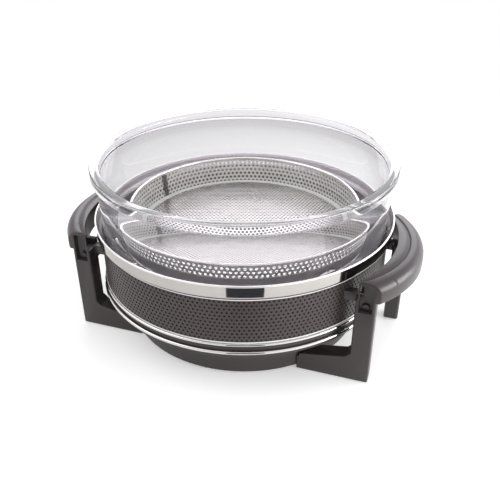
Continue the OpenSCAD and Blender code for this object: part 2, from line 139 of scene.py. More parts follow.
class Book:
    """Writes nodes into a shader or geometry tree."""

    def __init__(self, tree: bpy.types.NodeTree) -> None:
        """Starts on the tree to write into."""
        self.tree = tree

    def add(self, kind: str, settings: dict[str, Any] | None = None, **sockets: Any) -> bpy.types.Node:
        """Adds a node.

        Args:
            kind: The node's type.
            settings: The node's own properties, set before its sockets.
            **sockets: Input sockets by name, with _ for a space, as values, links or numbers.

        Returns:
            The node.
        """
        node = self.tree.nodes.new(kind)
        for key, value in (settings or {}).items():
            setattr(node, key, value)
        for key, value in sockets.items():
            self.feed(self.socket(node, key), value)
        return node

    @staticmethod
    def socket(node: bpy.types.Node, key: str) -> Socket:
        """Finds an enabled input of a node.

        Args:
            node: The node.
            key: The input's name, or iN for the Nth input.

        Returns:
            The input.
        """
        if key[0] == "i" and key[1:].isdigit():
            return node.inputs[int(key[1:])]
        name = key.replace("_", " ")
        return next(s for s in node.inputs if s.name == name and s.enabled)

    def feed(self, socket: Socket, value: Any) -> None:
        """Links or sets a socket.

        Args:
            socket: The input.
            value: A link, a number, a colour or another value.
        """
        if isinstance(value, Maths):
            self.tree.links.new(value.socket, socket)
        elif isinstance(value, Socket):
            self.tree.links.new(value, socket)
        elif isinstance(value, tuple) and len(value) == 3 and socket.type == "RGBA":
            socket.default_value = (*value, 1.0)
        else:
            socket.default_value = value

    def maths(self, operation: str, *values: Any) -> Maths:
        """Adds a Math node.

        Args:
            operation: The Math node's operation.
            *values: One to three numbers or links.

        Returns:
            The result.
        """
        node = self.add("ShaderNodeMath", {"operation": operation})
        for socket, value in zip(node.inputs, values):
            self.feed(socket, value)
        return Maths(self, node.outputs[0])

    def out(self, node: bpy.types.Node, name: str | int = 0) -> Maths:
        """One output of a node, as a number."""
        return Maths(self, node.outputs[name])

    def noise(self, vector: Any, scale: float, detail: float = 2.0) -> Maths:
        """A noise texture's value, about 0 to 1, with so many features in each metre."""
        return self.out(self.add("ShaderNodeTexNoise", Vector=vector, Scale=scale, Detail=detail))

    def blend(self, factor: Any, first: Any, second: Any) -> Socket:
        """Mixes two colours.

        Args:
            factor: 0 for the first colour, 1 for the second.
            first: A colour or a link.
            second: A colour or a link.

        Returns:
            The mixed colour.
        """
        node = self.add("ShaderNodeMix", {"data_type": "RGBA"})
        self.feed(node.inputs[0], factor)
        self.feed(node.inputs[6], first)
        self.feed(node.inputs[7], second)
        return node.outputs[2]

    def ramp(self, value: Any, low: float, high: float) -> Maths:
        """A number that runs from 0 to 1 while the value runs from low to high."""
        return self.out(self.add("ShaderNodeMapRange", Value=value, From_Min=low, From_Max=high))

    def bumped(self, height: Maths, strength: float, distance: float) -> Socket:
        """A bumped normal."""
        node = self.add("ShaderNodeBump", Strength=strength, Distance=distance, Height=height)
        return node.outputs[0]

    def xyz(self, x: Any, y: Any, z: Any) -> Socket:
        """Joins three numbers into a vector."""
        return self.add("ShaderNodeCombineXYZ", X=x, Y=y, Z=z).outputs[0]

    def parts(self, vector: Any) -> tuple[Maths, Maths, Maths]:
        """Splits a vector into its three numbers."""
        node = self.add("ShaderNodeSeparateXYZ", Vector=vector)
        return self.out(node, 0), self.out(node, 1), self.out(node, 2)


def node_material(name: str) -> tuple[bpy.types.Material, Book]:
    """Makes an empty node material and the book of its tree.

    Args:
        name: The material's name.

    Returns:
        The material and its book.
    """
    made = bpy.data.materials.new(name)
    made.use_nodes = True
    made.node_tree.nodes.clear()
    return made, Book(made.node_tree)


# Finishes


@dataclass(frozen=True)
class Finish:
    """One finish, made into a material when it is first asked for."""

    name: str
    slot: Slot
    colour: Colour

    def material(self) -> bpy.types.Material:
        """Finds or makes the finish's material.

        Returns:
            The material.
        """
        found = bpy.data.materials.get(self.name)
        if found:
            return found
        made, book = node_material(self.name)
        made.diffuse_color = (*self.colour, 1.0)
        book.add("ShaderNodeOutputMaterial", Surface=self.shade(book).outputs[0])
        return made

    def place(self, book: Book) -> Socket:
        """The object's own coordinates."""
        return book.add("ShaderNodeTexCoord").outputs["Object"]

    def shade(self, book: Book) -> bpy.types.Node:
        """Writes the shader and returns its last node."""
        raise NotImplementedError

    def dress(self, piece: Piece) -> None:
        """Gives a piece this finish; bands marked by a lathe keep their numbers.

        Args:
            piece: The piece.
        """
        if piece.data.materials:
            piece.data.materials.clear()
        piece.data.materials.append(self.material())


@dataclass(frozen=True)
class Moulded(Finish):
    """Moulded plastic, rubber or silicone: a soft sheen over a fine grain."""

    roughness: float = 0.4
    grain: float = 1400.0
    grain_depth: float = 0.12
    mottle: float = 0.10
    coat: float = 0.0

    def shade(self, book: Book) -> bpy.types.Node:
        """Writes the shader.

        Args:
            book: The material's book.

        Returns:
            The shader node.
        """
        place = self.place(book)
        cloud = book.noise(place, 22.0, 4.0)
        fine = book.noise(place, self.grain, 3.0)
        scuff = book.noise(place, 160.0, 5.0)
        dark = tuple(c * (1 - self.mottle) for c in self.colour)
        light = tuple(c * (1 + self.mottle) for c in self.colour)
        return book.add(
            "ShaderNodeBsdfPrincipled",
            Base_Color=book.blend(cloud * 0.7 + fine * 0.3, dark, light),
            Roughness=self.roughness - 0.05 + scuff * 0.1,
            Coat_Weight=self.coat,
            Coat_Roughness=0.16,
            Normal=book.bumped(fine, self.grain_depth, 0.15 * MM),
        )


@dataclass(frozen=True)
class Metal(Finish):
    """Bright metal: spun lines along Z and soft streaks round the axis."""

    roughness: float = 0.12
    streak: float = 0.05
    spun: float = 0.03
    lines: float = 900.0
    metallic: float = 1.0

    def shade(self, book: Book) -> bpy.types.Node:
        """Writes the shader.

        Args:
            book: The material's book.

        Returns:
            The shader node.
        """
        x, y, z = book.parts(self.place(book))
        turn = book.maths("ARCTAN2", y, x)
        radius = book.maths("SQRT", x * x + y * y)
        streaks = book.noise(book.xyz(turn * 0.9, 0.0, 0.0), 7.0, 4.0)
        grooves = book.noise(book.xyz(turn * 0.02, radius, z), self.lines, 3.0)
        smear = book.noise(self.place(book), 35.0, 3.0)
        dull = tuple(c * (1 - 2 * self.streak) for c in self.colour)
        return book.add(
            "ShaderNodeBsdfPrincipled",
            Base_Color=book.blend(streaks, dull, self.colour),
            Metallic=self.metallic,
            Roughness=self.roughness + (smear - 0.5) * 0.06 + (grooves - 0.5) * 0.05,
            Normal=book.bumped(grooves, self.spun, 0.05 * MM),
        )


@dataclass(frozen=True)
class Glass(Finish):
    """Clear pressed glass with a faint wave in its wall."""

    ior: float = 1.5

    def shade(self, book: Book) -> bpy.types.Node:
        """Writes the shader.

        Args:
            book: The material's book.

        Returns:
            The shader node.
        """
        wave = book.noise(self.place(book), 18.0, 1.0)
        return book.add(
            "ShaderNodeBsdfPrincipled",
            Base_Color=self.colour,
            Roughness=0.0,
            IOR=self.ior,
            Transmission_Weight=1.0,
            Normal=book.bumped(wave, 0.10, 0.3 * MM),
        )


PLASTIC = Moulded("warm_black_plastic", Slot.PLASTIC, (0.041, 0.032, 0.033), roughness=0.34, coat=0.08)
RUBBER = Moulded("foot_rubber", Slot.RUBBER, (0.020, 0.020, 0.020), roughness=0.75, grain_depth=0.3)
SILICONE = Moulded("grey_silicone", Slot.SILICONE, (0.26, 0.27, 0.29), roughness=0.55)
ENAMEL = Moulded(
    "guard_enamel", Slot.GUARD, (0.055, 0.042, 0.043), roughness=0.38, grain=2200.0, grain_depth=0.06
)
# Near-black for the pan's back, and painted shade as the thin sheet behind the guard band.
PAN_BACK_AND_SHADE = Moulded("pan_back_dark_and_painted_shade", Slot.STEEL, (0.018, 0.015, 0.015), roughness=0.5)
STEEL = Metal("polished_steel_sheet", Slot.STEEL, (0.61, 0.585, 0.56), roughness=0.075, streak=0.07)
CHROME = Metal("chromed_wire", Slot.CHROME, (0.84, 0.82, 0.79), roughness=0.08, streak=0.03)
# Painted light: a paler, less metallic copy of the polished steel, which lightens the pan inside the glass.
LIT_PAN_STEEL = Metal("pan_steel_painted_light", Slot.STEEL, (0.95, 0.935, 0.91), roughness=0.16, streak=0.05, metallic=0.6)
PUNCHED = Metal(
    "punched_basket_steel", Slot.BASKET, (0.87, 0.85, 0.82), roughness=0.30, spun=0.02, metallic=0.62
)
# Painted shade: a darker copy of the basket steel, for the punched floor.
SHADED_FLOOR_NET = Metal(
    "punched_floor_steel_painted_shade", Slot.BASKET, (0.56, 0.545, 0.53), roughness=0.28, spun=0.02, metallic=0.8
)
SEAM = Metal("seam_steel", Slot.BASKET, (0.26, 0.25, 0.23), roughness=0.3, spun=0.02)
# Painted shade: a dark copy of the basket steel, for the hem's inner face behind the wall's holes.
SHADED = Metal("shaded_steel", Slot.BASKET, (0.16, 0.15, 0.145), roughness=0.4, spun=0.02)
ZINC = Metal("zinc_plate", Slot.ZINC, (0.62, 0.62, 0.64), roughness=0.32, spun=0.05)
BLACKED = Metal("blacked_screws", Slot.ZINC, (0.075, 0.07, 0.07), roughness=0.35, spun=0.05)
CLEAR = Glass("clear_pressed_glass", Slot.GLASS, (0.90, 0.89, 0.915))


# Mesh helpers


def arc(centre: Point2, radius: float, start: float, end: float, steps: int) -> list[Point2]:
    """Points on an arc, steps + 1 of them, from one angle in degrees to the other."""
    angles = [math.radians(start + (end - start) * i / steps) for i in range(steps + 1)]
    return [(centre[0] + radius * math.cos(a), centre[1] + radius * math.sin(a)) for a in angles]


def softened(
    path: Sequence[Sequence[float]], radius: float, steps: int = 4, closed: bool = False
) -> list[tuple[float, ...]]:
    """Rounds the corners of a path, flat or in space.

    Args:
        path: The corners.
        radius: The most that a corner is rounded by.
        steps: Points on each rounded corner.
        closed: Whether the path joins its own start.

    Returns:
        The rounded path.
    """
    made: list[tuple[float, ...]] = []
    for i, corner in enumerate(path):
        here = Vector(corner)
        before, after = Vector(path[i - 1]) - here, Vector(path[(i + 1) % len(path)]) - here
        reach = min(radius, before.length * 0.45, after.length * 0.45)
        end_point = not closed and i in (0, len(path) - 1)
        straight = before.normalized().dot(after.normalized()) < -0.9995
        if end_point or reach < 0.05 * MM or straight:
            made.append(tuple(corner))
            continue
        start, end = here + before.normalized() * reach, here + after.normalized() * reach
        for k in range(steps + 1):
            t = k / steps
            made.append(tuple(start * (1 - t) ** 2 + here * 2 * t * (1 - t) + end * t * t))
    return made


def offset_path(path: Sequence[Point2], width: float) -> list[Point2]:
    """A path moved sideways, to the right of its travel.

    Args:
        path: The path.
        width: How far it moves.

    Returns:
        The moved path.
    """
    made = []
    for i, (x, z) in enumerate(path):
        a, b = path[max(i - 1, 0)], path[min(i + 1, len(path) - 1)]
        along = Vector((b[0] - a[0], b[1] - a[1])).normalized()
        made.append((x + along.y * width, z - along.x * width))
    return made


def finish_mesh(piece: Piece, sharp: float = 38.0) -> None:
    """Shades a piece smooth, with the edges over an angle kept sharp."""
    piece.data.shade_smooth()
    piece.data.set_sharp_from_angle(angle=math.radians(sharp))


def in_scene(name: str, data: Any) -> Piece:
    """Makes an object of some data and links it to the scene.

    Args:
        name: The object's name.
        data: Its mesh, lamp or camera data.

    Returns:
        The object.
    """
    made = bpy.data.objects.new(name, data)
    bpy.context.scene.collection.objects.link(made)
    return made


def new_piece(
    name: str,
    verts: Sequence[Sequence[float]],
    faces: Sequence[Sequence[int]],
    edges: Sequence[Sequence[int]] = (),
) -> Piece:
    """Makes an object from vertices and faces or edges.

    Args:
        name: The piece's name.
        verts: Its vertices.
        faces: Its faces.
        edges: Its loose edges.

    Returns:
        The object, in the scene.
    """
    mesh = bpy.data.meshes.new(name)
    mesh.from_pydata([tuple(v) for v in verts], [tuple(e) for e in edges], [tuple(f) for f in faces])
    return in_scene(name, mesh)


def lathe(name: str, outline: Sequence[Point2], marks: Sequence[int] | None = None) -> Piece:
    """Turns a closed outline round the Z axis.

    Args:
        name: The piece's name.
        outline: (radius, height) points of the closed section, in order.
        marks: A material number for the band after each point.

    Returns:
        The piece, with its faces outwards.
    """
    verts: list[Point3] = []
    rings: list[list[int]] = []
    for radius, height in outline:
        if radius < 1e-6:
            rings.append([len(verts)] * LATHE_STEPS)
            verts.append((0.0, 0.0, height))
            continue
        rings.append(list(range(len(verts), len(verts) + LATHE_STEPS)))
        for k in range(LATHE_STEPS):
            a = 2 * math.pi * k / LATHE_STEPS
            verts.append((radius * math.cos(a), radius * math.sin(a), height))
    faces, numbers = [], []
    for i, ring in enumerate(rings):
        after = rings[(i + 1) % len(rings)]
        if ring[0] == ring[-1] and after[0] == after[-1]:
            continue
        for k in range(LATHE_STEPS):
            n = (k + 1) % LATHE_STEPS
            corners = [ring[k], ring[n], after[n], after[k]]
            corners = [c for j, c in enumerate(corners) if c not in corners[:j]]
            faces.append(corners)
            numbers.append(marks[i] if marks else 0)
    piece = new_piece(name, verts, faces)
    piece.data.polygons.foreach_set("material_index", numbers)
    shape = bmesh.new()
    shape.from_mesh(piece.data)
    bmesh.ops.recalc_face_normals(shape, faces=shape.faces)
    shape.to_mesh(piece.data)
    shape.free()
    finish_mesh(piece)
    return piece


def baked(piece: Piece) -> Piece:
    """Turns a piece's modifiers into its plain mesh.

    Args:
        piece: The piece.

    Returns:
        The same piece.
    """
    graph = bpy.context.evaluated_depsgraph_get()
    mesh = bpy.data.meshes.new_from_object(piece.evaluated_get(graph), depsgraph=graph)
    mesh.name = piece.name
    piece.modifiers.clear()
    piece.data = mesh
    return piece


def settle(piece: Piece, body: Body, slot: Slot, *nodes: str) -> Piece:
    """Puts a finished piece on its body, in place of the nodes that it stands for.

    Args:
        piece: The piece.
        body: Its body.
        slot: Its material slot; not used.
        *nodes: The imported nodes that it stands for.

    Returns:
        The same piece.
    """
    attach(piece, body.value)
    if nodes:
        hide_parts(*nodes)
    LOG.info("%s rides on %s: %d faces", piece.name, body.value, len(piece.data.polygons))
    return piece


def refined(node: Piece, name: str, edge: float, finish: Finish, joint: float = 0.0) -> Piece:
    """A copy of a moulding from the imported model, with its edges broken.

    Args:
        node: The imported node's object.
        name: The new piece's name.
        edge: Width of the rounded edges.
        finish: Its finish.
        joint: The y of a joint whose edges stay sharp, or 0 for none.

    Returns:
        The piece.
    """
    mesh = node.data.copy()
    mesh.name = name
    piece = in_scene(name, mesh)
    shape = bmesh.new()
    shape.from_mesh(mesh)
    bmesh.ops.remove_doubles(shape, verts=shape.verts, dist=2e-6)
    bmesh.ops.dissolve_limit(shape, angle_limit=math.radians(0.4), verts=shape.verts, edges=shape.edges)
    bmesh.ops.recalc_face_normals(shape, faces=shape.faces)
    weight = shape.edges.layers.float.new("bevel_weight_edge")
    for line in shape.edges:
        at_joint = joint and all(abs(v.co.y - joint) < 0.4 * MM for v in line.verts)
        bent = len(line.link_faces) == 2 and line.calc_face_angle(0.0) > math.radians(34)
        line[weight] = 1.0 if bent and not at_joint else 0.0
    shape.to_mesh(mesh)
    shape.free()
    bevel = piece.modifiers.new("edges", "BEVEL")
    bevel.width = edge
    bevel.segments = 2
    bevel.limit_method = "WEIGHT"
    bevel.use_clamp_overlap = True
    baked(piece)
    finish_mesh(piece, 42.0)
    finish.dress(piece)
    return piece


# Geometry trees


class TreeMaker:
    """Makes a geometry tree with named inputs and runs it on a piece."""

    def __init__(self, name: str, counts: Sequence[str], sizes: Sequence[str]) -> None:
        """Starts a tree.

        Args:
            name: The tree's name.
            counts: Names of its whole-number inputs.
            sizes: Names of its inputs that are lengths or angles.
        """
        self.group = bpy.data.node_groups.new(name, "GeometryNodeTree")
        face = self.group.interface
        face.new_socket(name="Geometry", in_out="INPUT", socket_type="NodeSocketGeometry")
        face.new_socket(name="Geometry", in_out="OUTPUT", socket_type="NodeSocketGeometry")
        self.keys = {}
        for kind, labels in (("Int", counts), ("Float", sizes), ("Material", ("Material",))):
            for label in labels:
                made = face.new_socket(name=label, in_out="INPUT", socket_type=f"NodeSocket{kind}")
                self.keys[label] = made.identifier
        self.book = Book(self.group)
        self.source = self.book.add("NodeGroupInput")

    def given(self, label: str) -> Maths:
        """A named input."""
        return self.book.out(self.source, label)

    def close(self, geometry: Socket) -> None:
        """Ends the tree in Realize Instances and Set Material.

        Args:
            geometry: The geometry that the tree has made.
        """
        real = self.book.add("GeometryNodeRealizeInstances", Geometry=geometry)
        joined = self.book.add(
            "GeometryNodeMergeByDistance", Geometry=real.outputs[0], Distance=0.004 * MM
        )
        painted = self.book.add(
            "GeometryNodeSetMaterial", Geometry=joined.outputs[0], Material=self.given("Material")
        )
        self.book.add("NodeGroupOutput", Geometry=painted.outputs[0])

    def run(self, piece: Piece, finish: Finish, **values: Any) -> Piece:
        """Runs the tree on a piece and keeps the result as its mesh.

        Args:
            piece: The piece that holds the tree's source mesh.
            finish: The finish of the result.
            **values: Inputs by name, with _ for a space.

        Returns:
            The piece.
        """
        modifier = piece.modifiers.new(self.group.name, "NODES")
        modifier.node_group = self.group
        modifier[self.keys["Material"]] = finish.material()
        for label, value in values.items():
            modifier[self.keys[label.replace("_", " ")]] = value
        baked(piece)
        finish_mesh(piece)
        return piece


def wire_tree() -> TreeMaker:
    """Makes the tree that draws a round wire along every edge path of a piece.

    Returns:
        The tree.
    """
    tree = TreeMaker("round_wire", ("Wire Sides",), ("Wire Radius",))
    book, given = tree.book, tree.given
    curve = book.add("GeometryNodeMeshToCurve", Mesh=tree.source.outputs["Geometry"])
    ring = book.add(
        "GeometryNodeCurvePrimitiveCircle", Resolution=given("Wire Sides"), Radius=given("Wire Radius")
    )
    tube = book.add(
        "GeometryNodeCurveToMesh", Curve=curve.outputs[0], Profile_Curve=ring.outputs[0], Fill_Caps=True
    )
    tree.close(tube.outputs[0])
    return tree


def punched_wall_tree() -> TreeMaker:
    """Makes the tree that lays punched cells in staggered rows and bends them round the axis.

    Returns:
        The tree.
    """
    sizes = ("Pitch", "Row Height", "Column Angle", "Start Angle")
    ends = ("Lower Radius", "Upper Radius", "Lower Height", "Upper Height")
    tree = TreeMaker("punched_wall", ("Columns", "Rows"), sizes + ends)
    book, given = tree.book, tree.given
    index = book.out(book.add("GeometryNodeInputIndex"))
    row = (index / given("Columns")).floor()
    column = index - row * given("Columns")
    spot = book.xyz((column + (row % 2.0) * 0.5) * given("Pitch"), row * given("Row Height"), 0.0)
    points = book.add("GeometryNodePoints", Count=given("Columns") * given("Rows"), Position=spot)
    cell = tree.source.outputs["Geometry"]
    cells = book.add("GeometryNodeInstanceOnPoints", Points=points.outputs[0], Instance=cell)
    flat = book.add("GeometryNodeRealizeInstances", Geometry=cells.outputs[0])
    x, y, z = book.parts(book.add("GeometryNodeInputPosition").outputs[0])
    angle = given("Start Angle") + x / given("Pitch") * given("Column Angle")
    rise = y / (given("Rows") * given("Row Height"))
    radius = given("Lower Radius") + (given("Upper Radius") - given("Lower Radius")) * rise + z
    height = given("Lower Height") + (given("Upper Height") - given("Lower Height")) * rise
    bent = book.add(
        "GeometryNodeSetPosition",
        Geometry=flat.outputs[0],
        Position=book.xyz(radius * angle.cos(), radius * angle.sin(), height),
    )
    tree.close(bent.outputs[0])
    return tree


def punched_disc_tree() -> TreeMaker:
    """Makes the tree that lays punched six-sided cells over a disc.

    Returns:
        The tree.
    """
    tree = TreeMaker("punched_disc", ("Cells Across",), ("Pitch", "Disc Radius", "Height"))
    book, given = tree.book, tree.given
    index = book.out(book.add("GeometryNodeInputIndex"))
    across = given("Cells Across")
    row = (index / across).floor()
    middle = (across - 1.0) * 0.5
    x = (index - row * across - middle + (row % 2.0) * 0.5) * given("Pitch")
    y = (row - middle) * given("Pitch") * (math.sqrt(3) / 2)
    spot = book.xyz(x, y, given("Height"))
    points = book.add("GeometryNodePoints", Count=across * across, Position=spot).outputs[0]
    px, py, _ = book.parts(book.add("GeometryNodeInputPosition").outputs[0])
    inside = book.maths("SQRT", px * px + py * py) < given("Disc Radius")
    cell = tree.source.outputs["Geometry"]
    cells = book.add("GeometryNodeInstanceOnPoints", Points=points, Selection=inside, Instance=cell)
    tree.close(cells.outputs[0])
    return tree


def punched_cell(name: str, edge: Sequence[Point2], centre: Point2, hole: float, sheet: float) -> Piece:
    """One cell of a punched sheet: two faces with a hole, and the hole's wall.

    Args:
        name: The piece's name.
        edge: The cell's corners, anticlockwise.
        centre: The hole's centre.
        hole: The hole's diameter.
        sheet: The sheet's thickness.

    Returns:
        The cell as an object.
    """
    sides = 12
    ring = arc(centre, hole / 2, 15, 15 + 360 * (sides - 1) / sides, sides - 1)
    flat = list(edge) + ring
    count, outer = len(flat), len(edge)
    verts = [(x, y, sheet / 2) for x, y in flat] + [(x, y, -sheet / 2) for x, y in flat]

    def bearing(point: Point2) -> float:
        """The point's angle round the hole, 0 to 2 pi."""
        return math.atan2(point[1] - centre[1], point[0] - centre[0]) % (2 * math.pi)

    order_out = sorted(range(outer), key=lambda i: bearing(flat[i]))
    order_in = sorted(range(outer, count), key=lambda i: bearing(flat[i]))
    faces: list[tuple[int, ...]] = []
    i = j = 0
    while i < outer or j < sides:
        a, b = order_out[i % outer], order_in[j % sides]
        next_a, next_b = order_out[(i + 1) % outer], order_in[(j + 1) % sides]
        turn_a = bearing(flat[next_a]) + (2 * math.pi if i + 1 >= outer else 0)
        turn_b = bearing(flat[next_b]) + (2 * math.pi if j + 1 >= sides else 0)
        if j >= sides or (i < outer and turn_a <= turn_b):
            faces.append((a, next_a, b))
            i += 1
        else:
            faces.append((a, next_b, b))
            j += 1
    back = [tuple(n + count for n in reversed(face)) for face in faces]
    wall = []
    for k in range(sides):
        a, b = order_in[k], order_in[(k + 1) % sides]
        wall.append((a, b, b + count, a + count))
    return new_piece(name, verts, faces + back + wall)


# Stage


@dataclass
class Studio:
    """A pale floor, soft lamps, a dark opening for the metal to reflect, and the camera.

    floor_seen and floor_glow change the floor's paleness and add a glow, for rays from the camera
    and for rays through the glass. floor_shine is what metal mirrors: everywhere, more at the
    right and more far off. edge_dim darkens the far floor, and its edge, for rays through the
    glass. air_level is the mirrored air and how much darker it is low in front. air_through is
    the air through the glass at the horizon, and what it gains overhead.
    """

    camera_place: Point3 = (0.2111, -0.6095, 0.4518)
    camera_pitch: float = 59.81
    camera_heading: float = 18.58
    lens: float = 44.26
    lens_width: float = 36.0
    clip: Point2 = (0.01, 50.0)
    picture_right: Point2 = (0.948, 0.319)
    picture_front: Point2 = (0.327, -0.945)
    floor_size: float = 9.0
    floor_pale: float = 0.8
    floor_seen: Point2 = (0.1, -0.44)
    floor_glow: Point2 = (0.30, 0.36)
    floor_shine: Point3 = (0.06, 0.25, 0.2)
    floor_white: Point2 = (0.32, 1.1)
    floor_edge: Point2 = (1.0, 2.2)
    edge_dim: Point2 = (0.24, 0.45)
    air: float = 0.68
    air_level: Point2 = (0.90, 0.6)
    air_through: Point2 = (0.30, 1.3)
    air_tint: Colour = (0.96, 0.925, 1.0)
    right_sheen: float = 1.1
    aim_z: float = 0.1
    opening: Colour = (0.055, 0.06, 0.07)
    opening_facing: float = -71.0

    def build(self) -> None:
        """Makes the whole stage."""
        self.camera()
        self.floor()
        self.world()
        self.lamps()
        self.cards()

    def camera(self) -> None:
        """Puts the camera at the photograph's place."""
        data = bpy.data.cameras.new("photo_camera")
        data.lens = self.lens
        data.sensor_width = self.lens_width
        data.clip_start, data.clip_end = self.clip
        camera = in_scene("photo_camera", data)
        camera.location = self.camera_place
        camera.rotation_euler = (math.radians(self.camera_pitch), 0.0, math.radians(self.camera_heading))
        bpy.context.scene.camera = camera

    def floor(self) -> None:
        """Lays the floor, which shows white and keeps the object's shadow."""
        s = self.floor_size
        floor = new_piece("floor", [(-s, -s, 0), (s, -s, 0), (s, s, 0), (-s, s, 0)], [(0, 1, 2, 3)])
        material, book = node_material("studio_floor")
        x, y, _ = book.parts(book.add("ShaderNodeTexCoord").outputs["Object"])
        away = book.maths("SQRT", x * x + y * y)
        far = book.ramp(away, *self.floor_white)
        right = book.ramp(x * self.picture_right[0] + y * self.picture_right[1], -0.35, 0.3)
        direct, through, glossy = self.rays(book)
        base, at_right, far_off = self.floor_shine
        shine = glossy * (base + right * at_right + far * far_off)
        pale = self.floor_pale + direct * self.floor_seen[0] + through * self.floor_seen[1]
        diffuse = book.add("ShaderNodeBsdfDiffuse", Color=pale)
        glow = self.emission(book, direct * self.floor_glow[0] + through * self.floor_glow[1] + shine)
        near = book.add("ShaderNodeAddShader", i0=diffuse.outputs[0], i1=glow)
        dim = self.edge_dim[0] + book.ramp(away, *self.floor_edge) * self.edge_dim[1]
        white = self.emission(book, 1.0 - through * dim)
        seen = book.maths("MINIMUM", direct + through, 1.0)
        both = book.add("ShaderNodeMixShader", i0=seen * far, i1=near.outputs[0], i2=white)
        book.add("ShaderNodeOutputMaterial", Surface=both.outputs[0])
        floor.data.materials.append(material)

    @staticmethod
    def rays(book: Book) -> tuple[Maths, Maths, Maths]:
        """Whether a camera, a transmission or a glossy ray arrives."""
        path = book.add("ShaderNodeLightPath")
        return tuple(book.out(path, f"Is {kind} Ray") for kind in ("Camera", "Transmission", "Glossy"))

    @staticmethod
    def emission(book: Book, strength: Any, colour: Colour = (1.0, 1.0, 1.0)) -> Socket:
        """A plain glow."""
        return book.add("ShaderNodeEmission", Color=colour, Strength=strength).outputs[0]

    def world(self) -> None:
        """Lights the air: white to the camera, darker low in front and brighter at the right for the rest."""
        world = bpy.data.worlds.new("studio_air")
        bpy.context.scene.world = world
        world.use_nodes = True
        world.node_tree.nodes.clear()
        book = Book(world.node_tree)
        x, y, z = book.parts(book.add("ShaderNodeTexCoord").outputs["Generated"])
        front = book.ramp(x * self.picture_front[0] + y * self.picture_front[1], -0.1, 0.9)
        side = book.ramp(x * self.picture_right[0] + y * self.picture_right[1], 0.1, 0.85)
        up, band = book.ramp(z, 0.0, 0.75), book.ramp(z, 0.75, 0.3)
        direct, through, glossy = self.rays(book)
        level = self.air_level[0] - front * self.air_level[1] * (1.0 - up)
        soft = self.air + glossy * (level - self.air) + side * band * self.right_sheen
        clear = self.air_through[0] + up * self.air_through[1]
        strength = soft + direct * (1.0 - soft) + through * (clear - soft)
        tint = book.blend(glossy, (1.0, 1.0, 1.0), self.air_tint)
        air = book.add("ShaderNodeBackground", Color=tint, Strength=strength)
        book.add("ShaderNodeOutputWorld", Surface=air.outputs[0])

    def lamps(self) -> None:
        """Hangs the soft lamps."""
        self.lamp("key_left", (-1.3, -0.6, 1.6), (1.8, 1.4), 8.0, through=False)
        self.lamp("side_right", (1.25, 0.1, 0.32), (1.1, 0.55), 12.0, through=False)
        self.lamp("front_fill", (0.45, -1.3, 0.95), (1.0, 0.6), 3.0, mirrored=False, through=False)
        self.lamp("back_wall", (-0.45, 1.5, 0.95), (2.2, 0.9), 14.0)

    def lamp(
        self,
        name: str,
        place: Point3,
        size: Point2,
        power: float,
        mirrored: bool = True,
        through: bool = True,
    ) -> None:
        """Hangs one area lamp that faces the object.

        Args:
            name: The lamp's name.
            place: Where it hangs.
            size: Its width and height.
            power: Its power in watts.
            mirrored: Whether metal mirrors it.
            through: Whether it is seen through the glass.
        """
        data = bpy.data.lights.new(name, "AREA")
        data.shape = "RECTANGLE"
        data.size, data.size_y = size
        data.energy = power
        lamp = in_scene(name, data)
        lamp.location = place
        aim = Vector((0.0, 0.0, self.aim_z)) - Vector(place)
        lamp.rotation_euler = aim.to_track_quat("-Z", "Y").to_euler()
        lamp.visible_glossy, lamp.visible_transmission = mirrored, through

    def cards(self) -> None:
        """Stands the dark opening between the studio's white cards, for metal to reflect."""
        facing = math.radians(self.opening_facing)
        out = Vector((math.cos(facing), math.sin(facing), 0.0))
        side = Vector((-out.y, out.x, 0.0))
        verts = []
        for reach, half, z in ((0.30, 0.052, 0.002), (1.35, 0.31, 0.002), (1.35, 0.31, 1.3)):
            foot = out * reach + Vector((0, 0, z))
            verts += [foot - side * half, foot + side * half]
        card = new_piece("dark_opening", verts, [(0, 1, 3, 2), (2, 3, 5, 4)])
        material, book = node_material("dark_card")
        book.add("ShaderNodeOutputMaterial", Surface=self.emission(book, 1.0, self.opening))
        card.data.materials.append(material)
        card.visible_camera = card.visible_diffuse = card.visible_shadow = card.visible_transmission = False


# Sub-assemblies


@dataclass
class GlassBowl:
    """The deep glass bowl with its thick lip."""

    foot_z: float = 36 * MM
    top_z: float = 200 * MM
    lip_z: float = 187 * MM
    wall_radius: float = 164.5 * MM
    lip_radius: float = 170 * MM
    lip_wall: float = 6.1 * MM
    glass: float = 4.5 * MM
    corner: float = 55 * MM
    draft: float = 1.8
    inner_draft: float = 2.4

    @staticmethod
    def dish(foot: float, radius: float, top: float, corner: float, draft: float) -> list[Point2]:
        """The side of a dish: flat foot, round corner and drafted wall.

        Args:
            foot: Height of the flat foot.
            radius: The wall's radius at its top.
            top: Height of that top.
            corner: The corner's radius.
            draft: The wall's draft in degrees.

        Returns:
            (radius, height) points from the axis up.
        """
        lean = math.tan(math.radians(draft))
        base = radius - (top - foot) * lean
        cx = base + corner * lean - corner / math.cos(math.radians(draft))
        return [(0.0, foot), *arc((cx, foot + corner), corner, -90, -draft, 22), (radius, top)]

    def build(self) -> None:
        """Builds the bowl."""
        wall, r, top = self.wall_radius, self.lip_radius, self.top_z
        outside = self.dish(self.foot_z, wall, self.lip_z, self.corner, self.draft)
        bore = wall - self.lip_wall
        floor, turn = self.foot_z + self.glass, self.corner - self.glass
        inside = self.dish(floor, bore, self.lip_z, turn, self.inner_draft)
        lip = [
            (wall + 0.3 * MM, self.lip_z + 0.4 * MM),
            (r, self.lip_z + 1.4 * MM),
            (r, top - 0.4 * MM),
            (r - 3.5 * MM, top),
            (bore + 3.0 * MM, top),
            (bore + 0.3 * MM, top - 2.5 * MM),
        ]
        rim = softened([outside[-1], *lip, inside[-1]], 2.4 * MM, 5)[1:-1]
        outline = outside + rim + list(reversed(inside[1:])) + [(0.0, floor)]
        bowl = lathe("bowl_glass", outline)
        CLEAR.dress(bowl)
        settle(bowl, Body.BOWL, Slot.GLASS, "glass_bowl")


